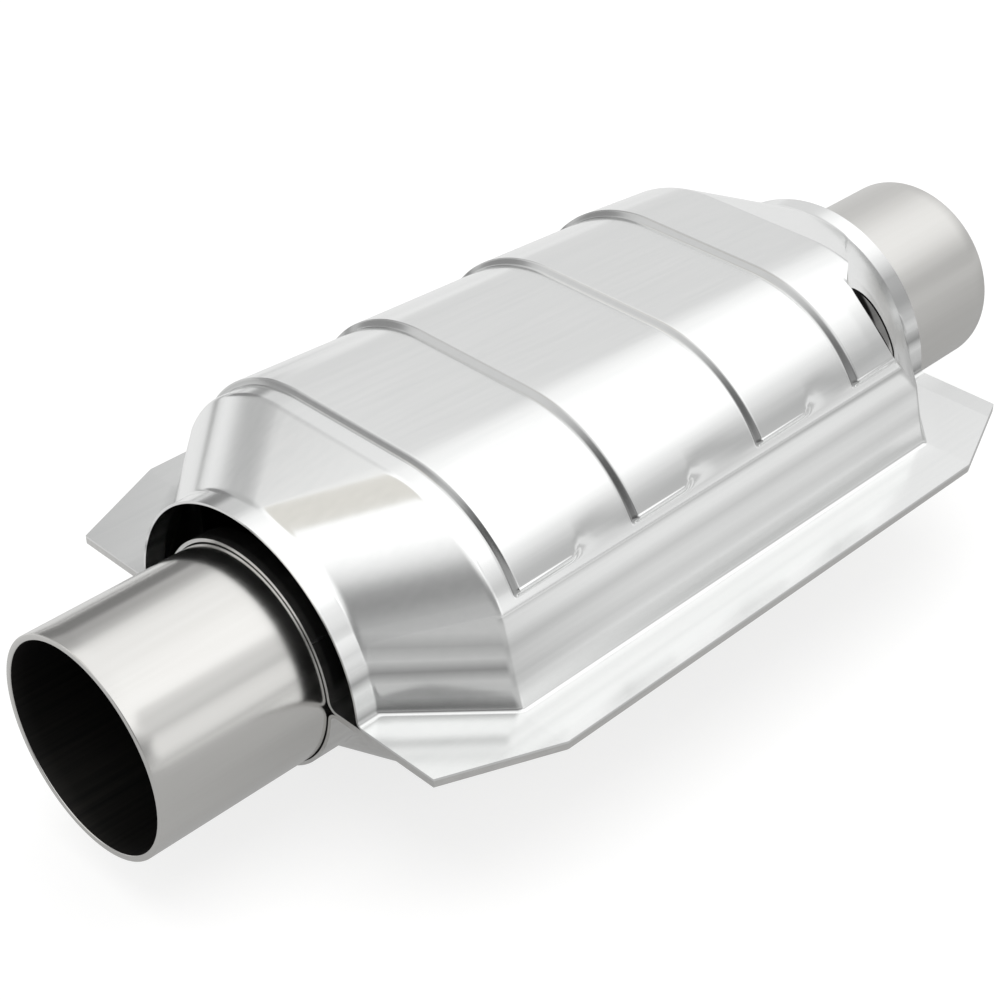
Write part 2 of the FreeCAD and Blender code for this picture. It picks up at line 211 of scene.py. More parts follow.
table_half, table_gap = 6000.0, 0.2
table_top = cad_box[0][2] - table_gap / 1000
table_mesh = bpy.data.meshes.new("pale_table")
table_mesh.from_pydata([(x * table_half / 1000, y * table_half / 1000, table_top)
                        for x, y in ((-1, -1), (1, -1), (1, 1), (-1, 1))], [], [(0, 1, 2, 3)])
table = bpy.data.objects.new("pale_table", table_mesh)
bpy.context.collection.objects.link(table)
table_paper = bpy.data.materials.new("table_paper")
table_paper.use_nodes = True
paper = table_paper.node_tree
paper.nodes.clear()
matt = node(paper, "ShaderNodeBsdfDiffuse", s_Color=(0.62, 0.62, 0.615, 1))
faint = node(paper, "ShaderNodeBsdfDiffuse", s_Color=(0.36, 0.36, 0.356, 1))
glow = node(paper, "ShaderNodeEmission", s_Color=(1, 1, 1, 1), s_Strength=0.72)
mirrored_table = node(paper, "ShaderNodeEmission", s_Color=(1, 1, 1, 1))

# In the sheet's mirror the table is brighter in a strip in front and at the back, and dim round
# one spot behind.
dim_centre = (0.27, 0.75, table_top)
strip_near, strip_far, front_fade = (166.7, 277.8), (611.1, 500), (-158.3, -241.7)
back_fade, dim_fade = (33.3, 200), (149.2, 318.6)
plain_level, front_more, back_more, dim_level, mirror_share = 0.50, 0.42, 0.40, 0.25, 0.75
place = node(paper, "ShaderNodeNewGeometry").outputs["Position"]
spot = parts_of(paper, place)
strip = maths(paper, "MULTIPLY", rise(paper, spot["X"], *strip_near), rise(paper, spot["X"], *strip_far))
lit_front = maths(paper, "MULTIPLY", rise(paper, spot["Y"], *front_fade), strip)
lit_back = rise(paper, spot["Y"], *back_fade)
from_dim = node(paper, "ShaderNodeVectorMath", operation="DISTANCE")
paper.links.new(place, from_dim.inputs[0])
from_dim.inputs[1].default_value = dim_centre
clear = rise(paper, from_dim.outputs["Value"], *dim_fade)
level = maths(paper, "MULTIPLY_ADD", lit_back, back_more, plain_level)
level = maths(paper, "MULTIPLY_ADD", lit_front, front_more, level)
level = maths(paper, "MULTIPLY", level, maths(paper, "MULTIPLY_ADD", clear, 1 - dim_level, dim_level))
paper.links.new(level, mirrored_table.inputs["Strength"])
paper_rays = node(paper, "ShaderNodeLightPath").outputs
mirrored_part = maths(paper, "MULTIPLY", paper_rays["Is Glossy Ray"], mirror_share)
lit = shader_mix(paper, mirrored_part, matt, mirrored_table)
both = node(paper, "ShaderNodeAddShader")
paper.links.new(faint.outputs[0], both.inputs[0])
paper.links.new(glow.outputs[0], both.inputs[1])
paper_finish = shader_mix(paper, paper_rays["Is Camera Ray"], lit, both)
paper.links.new(paper_finish.outputs[0], node(paper, "ShaderNodeOutputMaterial").inputs[0])
table_mesh.materials.append(table_paper)

overhead = bpy.data.lights.new("overhead_softbox", "AREA")
overhead.shape = "RECTANGLE"
overhead.size, overhead.size_y = 1.6, 1.2
overhead.energy = 9.0
overhead_box = bpy.data.objects.new("overhead_softbox", overhead)
overhead_box.location = (0.17, -0.25, 1.5)
overhead_box.rotation_euler = (math.radians(-10), 0, 0)
overhead_box.visible_glossy = False
bpy.context.collection.objects.link(overhead_box)

camera_data = bpy.data.cameras.new("camera")
camera_data.lens = 75.07
camera_data.sensor_width = 36.0
camera_data.clip_start = 0.01
camera = bpy.data.objects.new("camera", camera_data)
camera.location = (-0.2000, -0.3451, 0.3466)
sight = Vector((0.5791, 0.5771, -0.5758))
camera.rotation_euler = sight.to_track_quat("-Z", "Y").to_euler()
bpy.context.collection.objects.link(camera)
bpy.context.scene.camera = camera
bpy.context.scene.view_settings.view_transform = "Standard"


# ---------------------------------------------------------------------------------------------
# Heat shield: one sheet of bright stainless, deep drawn over the upper shell, with a collar
# and a cone at each end, four pressed steps across its barrel and a flat flange all round. It
# is welded to the shells along the flange. At the outlet its near flank is lanced and set in.

def smooth(value, low, high):
    """Smoothstep: 0 up to low, 1 from high on, 3t^2 - 2t^3 between."""
    t = np.clip((value - low) / (high - low), 0, 1)
    return t * t * (3 - 2 * t)


def dense(*spans):
    """Stations in runs: each span is (start, end, count), evenly spaced, ends shared."""
    runs = [np.linspace(start, end, count, endpoint=False) for start, end, count in spans]
    return np.concatenate(runs + [[spans[-1][1]]])


MIDDLE = 1000 * (cad_box[0][0] + cad_box[1][0]) / 2
SHEET = 0.7

# Barrel, collar and flange. Lengths along X are from the middle; angles are in degrees.
crown_half, crown_top, shoulder_r, crease = 20.75, 52.0, 45.2, 62.6
collar_r, collar_in, cone_in, cone_bend = 43.6, 112.05, 86.0, 0.035
collar_crown, collar_crease = 1.5, 62.0
skirt_lean, foot_half, flange_top, foot_bend = 16.5, 68.4, 1.7, 1.6
foot_level = flange_top + foot_bend
hollow_at, hollow_depth, hollow_ease, hollow_soft = 0.76, 0.4, 0.3, 0.08
flange_half, flange_corner, flange_in, flange_end = 84.35, 85.8, 118.85, 70.7

# Pressed steps: the lip of each runs along the shoulder's foot as a ledge, with a small bead on
# it, and fades past the ledge's end.
lift, ledge, riser_ease = 1.8, 21.0, 0.10
steps = np.array([-79.81, -36.29, 14.41, 57.62])
next_foot = np.append(steps[1:], cone_in - 0.6)
riser_runs = (0.9, 1.4, 1.4, 1.4)
lip_start, lip_end, lip_widening, lip_fade = 58.0, 60.0, 12.0, (ledge - 1, ledge + 10)
bead_start, bead_end, bead_share = (57.0, 57.8), (58.2, 59.4), 0.12
bead_front, bead_back, step_lead = (-0.5, 0.5), (ledge - 0.6, ledge + 0.6), 3.0

# Set-in flank: its step along X, its upper and lower borders as angles, and how its upper
# border leans. It is shallower along its middle and towards its foot, and cuts the skirt's top.
relief_step, relief_top, relief_foot = (77.8, 78.5), (25.0, 28.5), (58.4, 61.0)
relief_slant, relief_run, relief_depth, relief_dish = 8.0, 8.7, 2.0, 0.8
shallow_turns, shallow_share = (42.0, 57.0), 0.7
skirt_cut, cut_turns = 0.36, (58.4, 60.4)

# Slot at the set-in flank's front: its rims along X, its ends as angles, and how far the sheet
# beside it is pushed along X, at places along X.
slot_rims, slot_turns, slot_fullness = (77.8, 79.6), (28.0, 58.6), 0.7
slot_spread, slot_push = (70.0, *slot_rims, collar_in - 4), (0, -2.0, 8.0, 0)

# Columns across each part of a half, and the sharpest angle of the sheet that still looks soft.
crown_columns, bend_columns, flange_columns, soft_angle = 6, 7, 3, 32
shoulder_turns = dense((0, 25, 10), (25, 28.5, 4), (28.5, 40, 5), (40, 56.6, 8), (56.6, 60.4, 14),
                       (60.4, crease, 2))
down = dense((0, 0.66, 7), (0.66, 0.86, 6), (0.86, 1, 3))[1:]


def new_piece(name, points, faces, sharp):
    """A piece from points in millimetres and faces, shaded smooth but for its edges sharper
    than so many degrees."""
    mesh = bpy.data.meshes.new(name)
    mesh.from_pydata(points / 1000, [], faces)
    mesh.validate()
    mesh.shade_smooth()
    mesh.set_sharp_from_angle(angle=math.radians(sharp))
    piece = bpy.data.objects.new(name, mesh)
    bpy.context.collection.objects.link(piece)
    return piece


def sheet_mesh(name, outer, inner, opening=None):
    """A closed sheet from two grids of points, rows along X and columns across: the outer face,
    the inner face turned over, and a strip round the rim that joins them. An opening, given as
    its first and last row and column, is left out of both faces and gets a strip of its own."""
    rows, columns = outer.shape[:2]
    index = np.arange(rows * columns).reshape(rows, columns)
    quads = np.stack([index[:-1, :-1], index[:-1, 1:], index[1:, 1:], index[1:, :-1]], -1)
    kept = np.ones(quads.shape[:2], bool)
    strips = [(index, 1)]
    if opening:
        top, bottom, left, right = opening
        kept[top:bottom, left:right] = False
        strips.append((index[top:bottom + 1, left:right + 1], -1))
    quads = quads[kept]
    faces = [quads, quads[:, ::-1] + rows * columns]
    for block, sense in strips:
        rim = np.concatenate([block[0, :-1], block[:-1, -1], block[-1, :0:-1], block[:0:-1, 0]])
        after = np.roll(rim, -1)
        edge = np.stack([after, rim, rim + rows * columns, after + rows * columns], -1)
        faces.append(edge[:, ::sense])
    points = np.concatenate([outer.reshape(-1, 3), inner.reshape(-1, 3)])
    return new_piece(name, points, np.concatenate(faces), soft_angle)


def arc_points(centre, radius, angles):
    """Y and Z of points on a circle, at angles in degrees from straight up, towards +Y."""
    turn = np.radians(angles)
    return np.array([centre[0] + radius * np.sin(turn), centre[1] + radius * np.cos(turn)])


def wall_foot(radius, bend, level):
    """Where a round wall ends in a bend whose centre lies level above the wall's own: how far out
    that centre is, as sqrt((radius + bend)^2 - level^2), and its angle in degrees from the top."""
    reach = math.sqrt((radius + bend) ** 2 - level ** 2)
    return reach, math.degrees(math.atan2(reach, level))


def bend_points(centre, radius, start):
    """Y and Z of the bend out into the flange, from a start in degrees from straight down to
    straight down, where the flange begins."""
    return arc_points(centre, -radius, np.linspace(start, 0, bend_columns + 1)[1:])


def with_flange(half, x, level):
    """Carry a half straight out from its last column to the flange's edge, at a level. The edge
    is parallel to X along the body and runs straight inwards past the flange's corner."""
    edge = np.interp(np.abs(x), (flange_corner, flange_in), (flange_half, flange_end))
    wall = half[0][:, -1:]
    rim = wall + (edge - wall) * np.linspace(0, 1, flange_columns + 1)[1:]
    return np.concatenate([half, [rim, np.full_like(rim, level)]], -1)


def rounded_ramp(t, ease):
    """A straight rise from 0 at t = 0 to 1 at t = 1, with a parabola of reach ease at each
    corner."""
    low = np.where(np.abs(t) < ease, (t + ease) ** 2 / (4 * ease), np.maximum(t, 0))
    over = 1 - t
    return np.where(np.abs(over) < ease, 1 - (over + ease) ** 2 / (4 * ease), np.minimum(low, 1))


def cone_mix(distance):
    """Share of the barrel's section at a distance from the middle: 0 on the collar, 1 on the
    barrel, a straight line between, with its two corners rounded off as bends."""
    return rounded_ramp((collar_in - distance) / (collar_in - cone_in), cone_bend)


def panel_lift(x):
    """Height of the pressed panels along X: a steep riser at each step's foot, then a straight
    fall to nothing at the next foot."""
    height = np.zeros_like(x)
    for foot, end, run in zip(steps, next_foot, riser_runs):
        riser = rounded_ramp((x - foot) / run, riser_ease)
        height = np.maximum(height, riser * np.clip((end - x) / (end - foot), 0, 1))
    return lift * height


def shoulder_share(x):
    """How much of a panel's lift each angle of the shoulder takes at stations x: all of it down
    to a sharp lip above the ledge, which widens into a long soft fade past the ledge's end. The
    bead adds a little along the ledge, at the lip, and stops bluntly."""
    past = np.min(np.where(x > steps - step_lead, x - steps, np.inf), 1)[:, None]
    fade = lip_widening * smooth(past, *lip_fade)
    share = 1 - smooth(shoulder_turns, lip_start - fade, lip_end)
    bead = smooth(shoulder_turns, *bead_start) * (1 - smooth(shoulder_turns, *bead_end))
    on_ledge = smooth(past, *bead_front) * (1 - smooth(past, *bead_back))
    return share + bead_share * bead * on_ledge


def slot_widening(x):
    """How far along X the sheet beside the slot is pushed apart at stations x (a column) and
    each shoulder angle: most at the slot's two rims, as sin(pi t)^0.7 along its length t."""
    t = np.clip((shoulder_turns - slot_turns[0]) / (slot_turns[1] - slot_turns[0]), 0, 1)
    return np.interp(x, slot_spread, slot_push) * np.sin(np.pi * t) ** slot_fullness


def barrel_half(x, depth, turns, relieved):
    """Half of the barrel's section at stations x, as Y and Z: flat crown, round shoulder with
    the panels' lift, leaning skirt with a slight hollow, and the bend into the flange. Under
    the set-in flank the shoulder's foot is carried down the skirt by a share of its height."""
    one = np.ones_like(x)
    lifted = panel_lift(x)
    flat = np.linspace(0, crown_half, crown_columns + 1)[:-1] * one
    crown = np.array([flat, (crown_top - depth + lifted) * np.ones_like(flat)])
    reach = shoulder_r - depth + lifted * shoulder_share(x)
    shoulder = arc_points((crown_half, crown_top - shoulder_r), reach, turns)
    foot_centre = foot_half + foot_bend * math.tan(math.radians(90 - skirt_lean) / 2)
    bend = bend_points((foot_centre, foot_level), foot_bend + depth, 90 - skirt_lean)
    skirt_end = arc_points((foot_centre, foot_level), -(foot_bend + depth), 90 - skirt_lean)
    drop = skirt_end[:, None, None] - shoulder[..., -1:]
    skirt = shoulder[..., -1:] + drop * down
    hollow = np.interp(down, (0, hollow_at, 1), (0, 1, 0))
    hollow = hollow - hollow_ease * np.exp(-((down - hollow_at) / hollow_soft) ** 2)
    skirt[0] -= hollow_depth * hollow
    if relieved:
        cut = skirt_cut * smooth(x, relief_step[0], cone_in + 1) * smooth(shoulder_turns, *cut_turns)
        shoulder = shoulder + cut * drop
        skirt = skirt + cut[:, -1:] * drop * (1 - down)
    return np.concatenate([crown, shoulder, skirt, bend[:, None] * one], -1)


def collar_half(x, depth, turns):
    """Half of the collar's round section at stations x, as Y and Z, in the barrel's columns."""
    one = np.ones_like(x)
    reach, foot = wall_foot(collar_r, foot_bend, foot_level)
    crown = np.linspace(0, collar_crown, crown_columns + 1)[:-1] * one
    shoulder = collar_crown + (collar_crease - collar_crown) * turns / crease
    below = np.linspace(collar_crease, foot, down.size + 1)[1:] * one
    wall = arc_points((0, 0), collar_r - depth, np.concatenate([crown, shoulder, below], 1))
    bend = bend_points((reach, foot_level), foot_bend + depth, foot)
    return np.concatenate([wall, bend[:, None] * one], -1)


def shield_half(x, depth, relieved=False):
    """One half of the shield at stations x, set in by depth from its outer face, as Y and Z.
    Columns run from the crown's middle over the shoulder and down the skirt to the flange's
    edge; a cone mixes the barrel and the collar in proportion. Where the half is relieved, the
    outlet cone's flank starts early and low, behind a sharp step down."""
    x = x[:, None]
    turns = shoulder_turns * np.ones_like(x)
    if relieved:
        slant = relief_slant * np.clip((x - relief_step[0]) / relief_run, 0, 1)
        turns = turns - slant * np.interp(shoulder_turns, (0, *relief_top, lip_start), (0, 1, 1, 0))
    barrel = barrel_half(x, depth, turns, relieved)
    collar = collar_half(x, depth, turns)
    mix = cone_mix(np.abs(x))
    half = collar * (1 - mix) + barrel * mix
    if relieved:
        at = slice(crown_columns, crown_columns + shoulder_turns.size)
        window = smooth(shoulder_turns, *relief_top) * (1 - smooth(shoulder_turns, *relief_foot))
        line = np.clip((collar_in - x - slot_widening(x)) / (collar_in - relief_step[1]), 0, 1)
        set_in = relief_depth - relief_dish * np.sin(np.pi * line)
        set_in = set_in * (1 - shallow_share * smooth(shoulder_turns, *shallow_turns))
        inner = barrel[..., at] - set_in * arc_points((0, 0), 1, turns)
        flank = collar[..., at] * (1 - line) + inner * line
        half[..., at] += smooth(x, *relief_step) * window * (flank - half[..., at])
    return with_flange(half, x, flange_top - depth)


def both_sides(x, far, near):
    """Join two halves, each listed from the middle outwards, to rows from the +Y to the -Y edge:
    the far one as it is, the near one mirrored."""
    y = np.concatenate([far[0][:, :0:-1], -near[0]], 1)
    z = np.concatenate([far[1][:, :0:-1], near[1]], 1)
    return np.stack([np.broadcast_to(x[:, None] + MIDDLE, y.shape), y, z], -1)


# Stations stand close together over every bend, riser and ledge's end.
cone_x = dense((84.8, 87.3, 8), (87.3, 110.4, 10), (110.4, 113.7, 8), (113.7, flange_in, 4))
runs = [-cone_x, dense((-84.8, -80.6, 3))[:-1], dense((70.0, 77.5, 6), (77.5, 79.6, 12)), [84.0], cone_x]
for foot, end in zip(steps, next_foot):
    runs.append(dense((foot - 0.8, foot + 2.2, 14), (foot + 2.2, foot + ledge - 0.7, 6),
                      (foot + ledge - 0.7, foot + ledge + 4.0, 10),
                      (foot + ledge + 4.0, end - 1.6, 5))[:-1])
shield_x = np.unique(np.round(np.concatenate(runs), 4))
faces = [both_sides(shield_x, shield_half(shield_x, depth), shield_half(shield_x, depth, True))
         for depth in (0.0, SHEET)]
first_turn = faces[0].shape[1] // 2 + crown_columns
slot_rows = np.searchsorted(shield_x, slot_rims)
slot_columns = first_turn + np.searchsorted(shoulder_turns, slot_turns)
for face in faces:
    face[:, first_turn:first_turn + shoulder_turns.size, 0] += slot_widening(shield_x[:, None])
shield = sheet_mesh("pressed_heat_shield", *faces, opening=(*slot_rows, *slot_columns))


def own_place(tree):
    """Where a point lies on its piece, as a vector socket in metres."""
    return node(tree, "ShaderNodeTexCoord").outputs["Object"]


def from_middle(tree, x):
    """How far a point lies from the middle of the body along X."""
    return maths(tree, "ABSOLUTE", maths(tree, "SUBTRACT", x, MIDDLE / 1000))


def new_finish(name):
    """A plain material; returns it, its tree and its shader."""
    material = bpy.data.materials.new(name)
    material.use_nodes = True
    tree = material.node_tree
    return material, tree, tree.nodes["Principled BSDF"]


def bump_on(tree, shader, height, strength, depth):
    """Give a shader a bump, on which a height of 1 stands for a depth in millimetres."""
    bump = node(tree, "ShaderNodeBump", s_Strength=strength, s_Distance=depth / 1000)
    tree.links.new(height, bump.inputs["Height"])
    tree.links.new(bump.outputs[0], shader.inputs["Normal"])


def finish(piece, *materials):
    """Give a piece these materials and no others."""
    piece.data.materials.clear()
    for material in materials:
        piece.data.materials.append(material)


def brushed_steel(name, colour, shade, roughness, along=(1.2, 60, 60), bump=0.012):
    """Stainless steel with fine lengthwise rolling lines: noise drawn out along X moves its
    colour, roughness and height a little, and a broader noise adds faint handling marks.
    Returns the material, its shader and the colour, so that a piece can add its own marks and painted
    shade."""
    material, tree, shader = new_finish(name)
    shader.inputs["Metallic"].default_value = 1.0
    spread = 0.05
    place = own_place(tree)
    drawn = node(tree, "ShaderNodeMapping", s_Scale=along)
    tree.links.new(place, drawn.inputs["Vector"])
    lines = node(tree, "ShaderNodeTexNoise", s_Scale=9.0, s_Detail=4.0, s_Roughness=0.6)
    tree.links.new(drawn.outputs[0], lines.inputs["Vector"])
    marks = node(tree, "ShaderNodeTexNoise", s_Scale=34.0, s_Detail=3.0)
    tree.links.new(place, marks.inputs["Vector"])
    tone = ramp(tree, lines.outputs["Fac"], [(0.30, shade), (0.66, colour)], "LINEAR")
    tree.links.new(tone, shader.inputs["Base Color"])
    rough = maths(tree, "MULTIPLY_ADD", marks.outputs["Fac"], spread, roughness - spread)
    rough = maths(tree, "MULTIPLY_ADD", lines.outputs["Fac"], spread, rough)
    tree.links.new(rough, shader.inputs["Roughness"])
    bump_on(tree, shader, lines.outputs["Fac"], bump, 0.4)
    return material, shader, tone


shield_finish, shader, tone = brushed_steel("bright_rolled_steel", (0.925, 0.93, 0.925),
                                            (0.897, 0.905, 0.900), 0.17, bump=0.008)
tree = shield_finish.node_tree
spot = parts_of(tree, own_place(tree))

# Light and dark bands from the skirt's top to the flange, and their own on the cones. They are
# painted into the steel, stand for what polished sheet mirrors, and stay put under any light.
skirt_top = 27.3
down_skirt = rise(tree, spot["Z"], skirt_top, flange_top)
skirt_bands = ramp(tree, down_skirt, [(0.0, 1.0), (0.012, 0.78), (0.07, 0.96), (0.13, 1.0), (0.19, 0.98),
                                      (0.26, 0.85), (0.33, 0.75), (0.43, 0.89), (0.52, 0.92),
                                      (0.64, 0.79), (0.72, 0.86), (0.78, 0.98), (0.90, 0.98),
                                      (0.98, 0.92), (0.997, 0.94)], "LINEAR")
cone_bands = ramp(tree, down_skirt, [(0.0, 1.0), (0.14, 1.0), (0.28, 0.74), (0.42, 1.0), (0.54, 0.52),
                                     (0.66, 1.0), (0.82, 1.0), (0.93, 0.56), (0.98, 0.62),
                                     (0.997, 0.92)], "LINEAR")
on_cone = rise(tree, from_middle(tree, spot["X"]), cone_in, cone_in + 1)
tone = blend(tree, 1.0, tone, blend(tree, on_cone, skirt_bands, cone_bands), "MULTIPLY")

# The outlet's collar has painted light and dark bands too, for what it mirrors, in shares of its height.
collar_bands = ramp(tree, rise(tree, spot["Z"], 0, collar_r),
                    [(0.50, 0.94), (0.60, 0.72), (0.72, 0.50), (0.82, 0.74), (0.92, 1.0)], "LINEAR")
collar_start = MIDDLE + collar_in - 1
on_collar = rise(tree, spot["X"], collar_start, collar_start + 1)
tone = blend(tree, on_collar, tone, collar_bands, "MULTIPLY")

# The risers' shade is painted in as well, down to the ledges.
riser_shade, riser_margin, riser_fade, ledge_top = 0.62, 0.1, 0.001, 29.6
riser_marks = [(0.0, 1.0)]
for foot, run in zip(steps, riser_runs):
    start = (foot - riser_margin + cone_in) / (2 * cone_in)
    end = (foot + run + riser_margin + cone_in) / (2 * cone_in)
    riser_marks += [(start - riser_fade, 1.0), (start, riser_shade), (end, riser_shade),
                    (end + riser_fade, 1.0)]
along_barrel = rise(tree, spot["X"], MIDDLE - cone_in, MIDDLE + cone_in)
above_ledge = rise(tree, spot["Z"], ledge_top, ledge_top + 1)
tone = blend(tree, above_ledge, tone, ramp(tree, along_barrel, riser_marks, "LINEAR"), "MULTIPLY")
tree.links.new(tone, shader.inputs["Base Color"])
finish(shield, shield_finish)
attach(shield, steel_body)
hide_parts("upper_heat_shield")


# ---------------------------------------------------------------------------------------------
# Half shells: the same pressing twice, the lower one turned over, in plain rolled stainless
# sheet. They are seam welded along the flange, under the shield, and hug the pipes. The upper
# one is painted dark where the shield covers it, for the deep shade in there.

SHELL = 1.0
neck_r, neck_in, shell_r, brick_flat, shell_bend = 33.1, 106.05, 45.5, 20.0, 2.5
barrel_in, shell_cone_bend = 83.0, 0.09
groove_half, groove_floor, groove_depth, groove_bend = 4.8, 1.8, 3.0, 0.3
wall_columns = 26


def round_wall(centre_y, radius, depth):
    """Y and Z of a shell's round wall, from its top to the bend, and of the bend."""
    level = SHELL + shell_bend
    reach, foot = wall_foot(radius, shell_bend, level)
    wall = arc_points((centre_y, 0), radius - depth, np.linspace(0, foot, wall_columns))
    bend = bend_points((centre_y + reach, level), shell_bend + depth, foot)
    return np.concatenate([wall, bend], 1)[:, None]


def shell_half(x, depth):
    """One half of a shell at stations x, as Y and Z: neck, cone, barrel and the locating groove
    between the bricks, as proportions of three sections that share their columns."""
    x = x[:, None]
    body = rounded_ramp((neck_in - np.abs(x)) / (neck_in - barrel_in), shell_cone_bend)
    sunk = rounded_ramp((groove_half - np.abs(x)) / (groove_half - groove_floor), groove_bend)
    neck = round_wall(0, neck_r, depth)
    barrel = round_wall(brick_flat, shell_r, depth)
    low = round_wall(brick_flat, shell_r - groove_depth, depth)
    wall = neck * (1 - body) + (barrel * (1 - sunk) + low * sunk) * body
    flat = wall[0][:, :1] * np.linspace(0, 1, crown_columns + 1)[:-1]
    crown = np.array([flat, wall[1][:, :1] * np.ones_like(flat)])
    return with_flange(np.concatenate([crown, wall], -1), x, SHELL - depth)


# Stations stand close together over the groove and over the cone's two bends.
outwards = dense((0, 6, 12), (6, 80.5, 14), (80.5, 86, 8), (86, 103, 8), (103, 109, 8), (109, flange_in, 4))
shell_x = np.concatenate([-outwards[:0:-1], outwards])
halves = [shell_half(shell_x, depth) for depth in (0.0, SHELL)]
upper_faces = [both_sides(shell_x, half, half) for half in halves]
rolled, rolled_shade = (0.74, 0.735, 0.72), (0.66, 0.655, 0.645)
shell_finish = brushed_steel("rolled_shell_steel", rolled, rolled_shade, 0.22)[0]
covered_finish, shader, tone = brushed_steel("darkened_shell_steel", rolled, rolled_shade, 0.26)
tree = covered_finish.node_tree
spot = parts_of(tree, own_place(tree))

# The painted shade on the wall: near black inside the shield, half on the neck by its collar, none outside.
cover_stops = ((111.78, 0.01), (112.37, 0.36), (116.47, 0.42), (117.19, 1.0))
cover_shade = ramp(tree, rise(tree, from_middle(tree, spot["X"]), 0, flange_in),
                   [(place / flange_in, shade) for place, shade in cover_stops], "LINEAR")
wall_start, wall_full = 5.1, 8.1
on_wall = rise(tree, spot["Z"], wall_start, wall_full)
tree.links.new(blend(tree, on_wall, tone, cover_shade, "MULTIPLY"), shader.inputs["Base Color"])
for name, turned_over, steel in (("upper_half_shell", 1, covered_finish),
                                 ("lower_half_shell", -1, shell_finish)):
    outer, inner = (face * (1, turned_over, turned_over) for face in upper_faces)
    half_shell = sheet_mesh(name, outer, inner)
    finish(half_shell, steel)
    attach(half_shell, steel_body)
    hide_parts(name.replace("_half", ""))


# ---------------------------------------------------------------------------------------------
# Pipe stubs: drawn stainless tube, cut square, its mouth lightly deburred. Each one stands in
# the necks of the shells and is welded to them from inside. The bore is painted near black,
# for the shade inside, and the outlet's stub is duller than the inlet's.

tube_outer, tube_inner, tube_end, deburr = 31.75, 29.95, 61.6, 0.3
around, tube_soft_angle, hair = 180, 50, 0.01


def turned_piece(name, x, radius, turned_round):
    """A profile of places along X and radii carried round the X axis. A piece turned round
    stands at the far end, facing the other way."""
    turn = np.linspace(0, 2 * math.pi, around, endpoint=False)[:, None]
    ring = np.stack([x + 0 * turn, -radius * np.sin(turn), radius * np.cos(turn)], -1)
    if turned_round:
        ring = ring * (-1, -1, 1) + (2 * MIDDLE, 0, 0)
    index = np.arange(turn.size * x.size).reshape(turn.size, x.size)
    after = np.roll(index, -1, axis=0)
    faces = np.stack([index, after, np.roll(after, -1, axis=1), np.roll(index, -1, axis=1)], -1)
    return new_piece(name, ring.reshape(-1, 3), faces.reshape(-1, 4), tube_soft_angle)


satin, satin_shade = (0.715, 0.708, 0.69), (0.695, 0.688, 0.668)
near_finish = brushed_steel("satin_tube_steel", satin, satin_shade, 0.18, bump=0.005)[0]
far_finish = brushed_steel("satin_far_tube_steel", satin, satin_shade, 0.34, bump=0.005)[0]
# The bore's near black is painted shade, for the shade inside the tube.
bore_finish = brushed_steel("painted_shade_tube_bore", (0.05, 0.048, 0.045), (0.03, 0.03, 0.03), 0.55)[0]

# The profile runs from the mouth along the outside to the tube's end and back along the bore.
corner = np.radians([0, 30, 60, 90])
lip_x, lip_in = deburr - deburr * np.cos(corner), deburr - deburr * np.sin(corner)
wall_x = np.linspace(deburr, tube_end, 14)[1:]
tube_x = np.concatenate([lip_x, wall_x, wall_x[::-1], lip_x[::-1]])
tube_r = np.concatenate([tube_outer - lip_in, np.full_like(wall_x, tube_outer),
                         np.full_like(wall_x, tube_inner), tube_inner + lip_in[::-1]])
at_bore = tube_r < tube_inner + hair
in_bore = np.tile(at_bore & (tube_x > deburr - hair) & np.roll(at_bore, -1), around)
for name, at_outlet, steel in (("inlet_stub", False, near_finish), ("outlet_stub", True, far_finish)):
    stub = turned_piece(name, tube_x, tube_r, at_outlet)
    finish(stub, steel, bore_finish)
    stub.data.polygons.foreach_set("material_index", in_bore.astype(np.int32))
    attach(stub, steel_body)
    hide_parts(name.replace("stub", "pipe"))


# ---------------------------------------------------------------------------------------------
# Weld beads: one ring of filler inside each neck, where the pipe's end meets the shells. Laid
# in overlapping ripples round the joint, with straw and blue heat tint.

straw, blue = (0.60, 0.55, 0.48), (0.42, 0.43, 0.50)
ripples = 90.0
bead_finish, shader = brushed_steel("weld_filler", straw, blue, 0.34, along=(40, 40, 40))[:2]
tree = bead_finish.node_tree
spot = parts_of(tree, own_place(tree))
turn = maths(tree, "ARCTAN2", spot["Y"], spot["Z"])
ripple = maths(tree, "SINE", maths(tree, "MULTIPLY", turn, ripples))
bump_on(tree, shader, ripple, 0.6, 0.4)
for bead in ("inlet_weld_bead", "outlet_weld_bead"):
    finish(frame["nodes"][bead], bead_finish)


# ---------------------------------------------------------------------------------------------
# Monoliths: two oval bricks of extruded cordierite honeycomb, square cells at 1.27 mm pitch,
# coated with beige washcoat. They stand in the mats, one behind the other.

cell_pitch, cell_wall = 1.27, 0.09
beige, beige_shade, painted_cell_shade = (0.62, 0.54, 0.43), (0.50, 0.43, 0.34), (0.07, 0.06, 0.05)


def matt_finish(name, colour, shade, roughness, grain):
    """A matt ceramic or fibre finish: two shades mixed by noise, with a fine bump. Returns the
    material, its tree, its shader and the mixed colour."""
    material, tree, shader = new_finish(name)
    spread = 0.1
    speckle = node(tree, "ShaderNodeTexNoise", s_Scale=grain, s_Detail=6.0, s_Roughness=0.65)
    tree.links.new(own_place(tree), speckle.inputs["Vector"])
    tone = ramp(tree, speckle.outputs["Fac"], [(0.35, shade), (0.65, colour)])
    tree.links.new(tone, shader.inputs["Base Color"])
    rough = maths(tree, "MULTIPLY_ADD", speckle.outputs["Fac"], spread, roughness - spread / 2)
    tree.links.new(rough, shader.inputs["Roughness"])
    bump_on(tree, shader, speckle.outputs["Fac"], 0.35, 0.5)
    return material, tree, shader, tone


